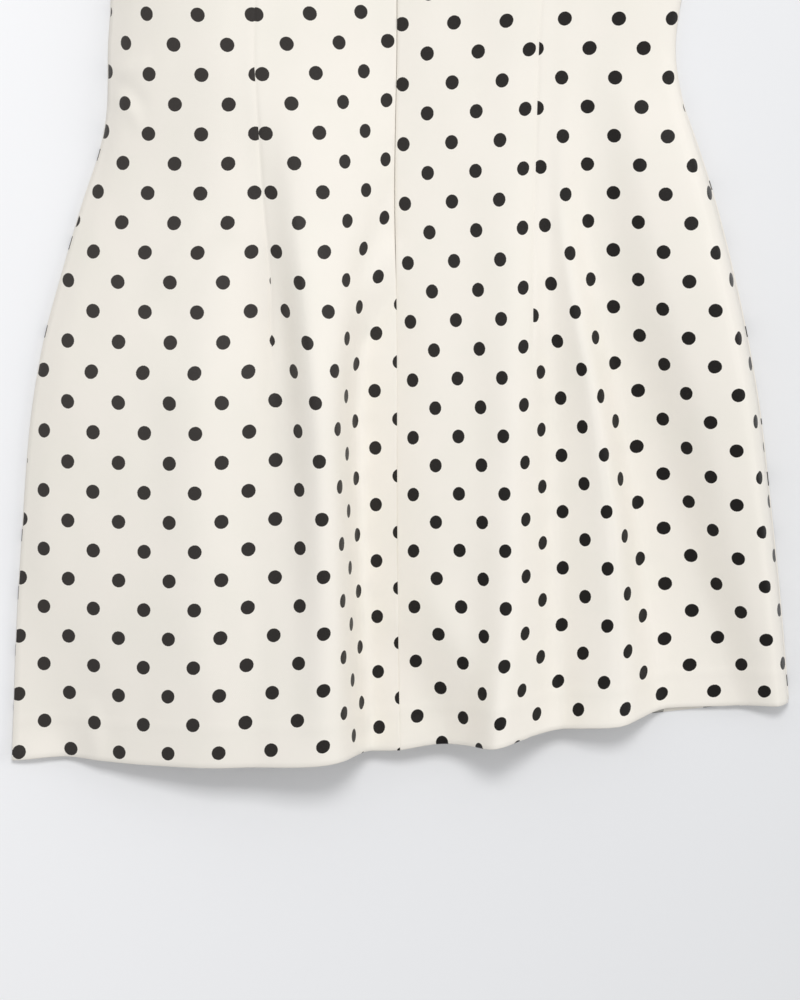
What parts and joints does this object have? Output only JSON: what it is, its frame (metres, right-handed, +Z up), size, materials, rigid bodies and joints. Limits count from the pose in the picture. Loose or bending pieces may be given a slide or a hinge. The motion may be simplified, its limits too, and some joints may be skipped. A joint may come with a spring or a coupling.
{
  "type": "bodycon mini dress",
  "caption": "Sleeveless mini dress laid flat, back up: fitted bodice and waist, back darts, concealed back zip, skirt in long soft folds",
  "frame": {"origin": "middle of the footprint, on the surface that the dress lies on", "axes": "+X across the dress, +Y from hem to neck, +Z up out of the surface; the back of the dress faces +Z"},
  "size_m": [0.4682, 0.8284, 0.0555],
  "materials": {
    "sateen": "ivory cotton sateen with small dark dots, soft sheen",
    "tape": "woven polyester tape, matte",
    "zip_metal": "ivory painted zinc, satin"
  },
  "bodies": {
    "dress": {"back_left": "sateen", "back_right": "sateen", "front": "sateen", "zip_tape": "tape", "zip_slider": "zip_metal"},
    "pull_tab": {"zip_pull": "zip_metal"}
  },
  "joints": [
    {"name": "pull_hinge", "type": "hinge", "parent": "dress", "child": "pull_tab", "pos_m": [-0.0018, 0.35725, 0.00795], "axis": [-1, 0, 0], "range_deg": [0, 150]}
  ]
}
